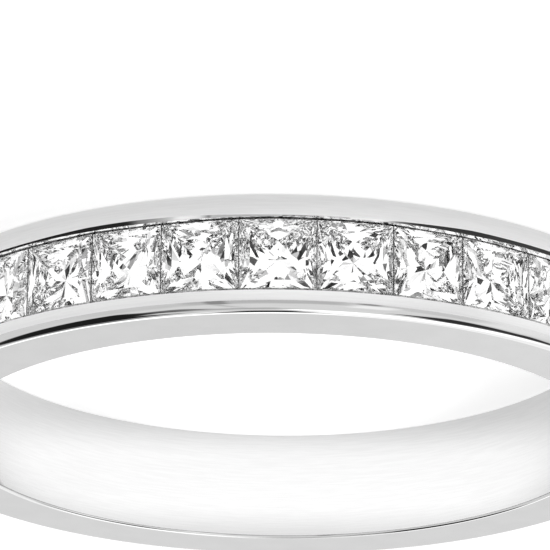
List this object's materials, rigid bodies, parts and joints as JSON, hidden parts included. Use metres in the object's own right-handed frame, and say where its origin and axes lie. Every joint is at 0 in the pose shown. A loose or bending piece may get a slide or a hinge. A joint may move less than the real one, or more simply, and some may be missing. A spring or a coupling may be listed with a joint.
{
  "type": "channel set band",
  "caption": "Polished white metal finger ring with square princess cut stones held edge to edge between two plain rails over half of its round.",
  "frame": {"origin": "on the axis of the bore, in the plane of the side face that the ring rests on", "axes": "+Z along the bore, up as the ring lies on its side; the row of stones is centred on -Y"},
  "size_m": [0.0205, 0.0204, 0.003],
  "materials": {
    "metal": "polished white gold, rhodium bright",
    "stone": "colourless cut and polished"
  },
  "bodies": {
    "root": {"band": "metal", "stone_01": "stone", "stone_02": "stone", "stone_03": "stone", "stone_04": "stone", "stone_05": "stone", "stone_06": "stone", "stone_07": "stone", "stone_08": "stone", "stone_09": "stone", "stone_10": "stone", "stone_11": "stone", "stone_12": "stone", "stone_13": "stone", "stone_14": "stone", "stone_15": "stone", "stone_16": "stone", "stone_17": "stone"}
  },
  "joints": []
}
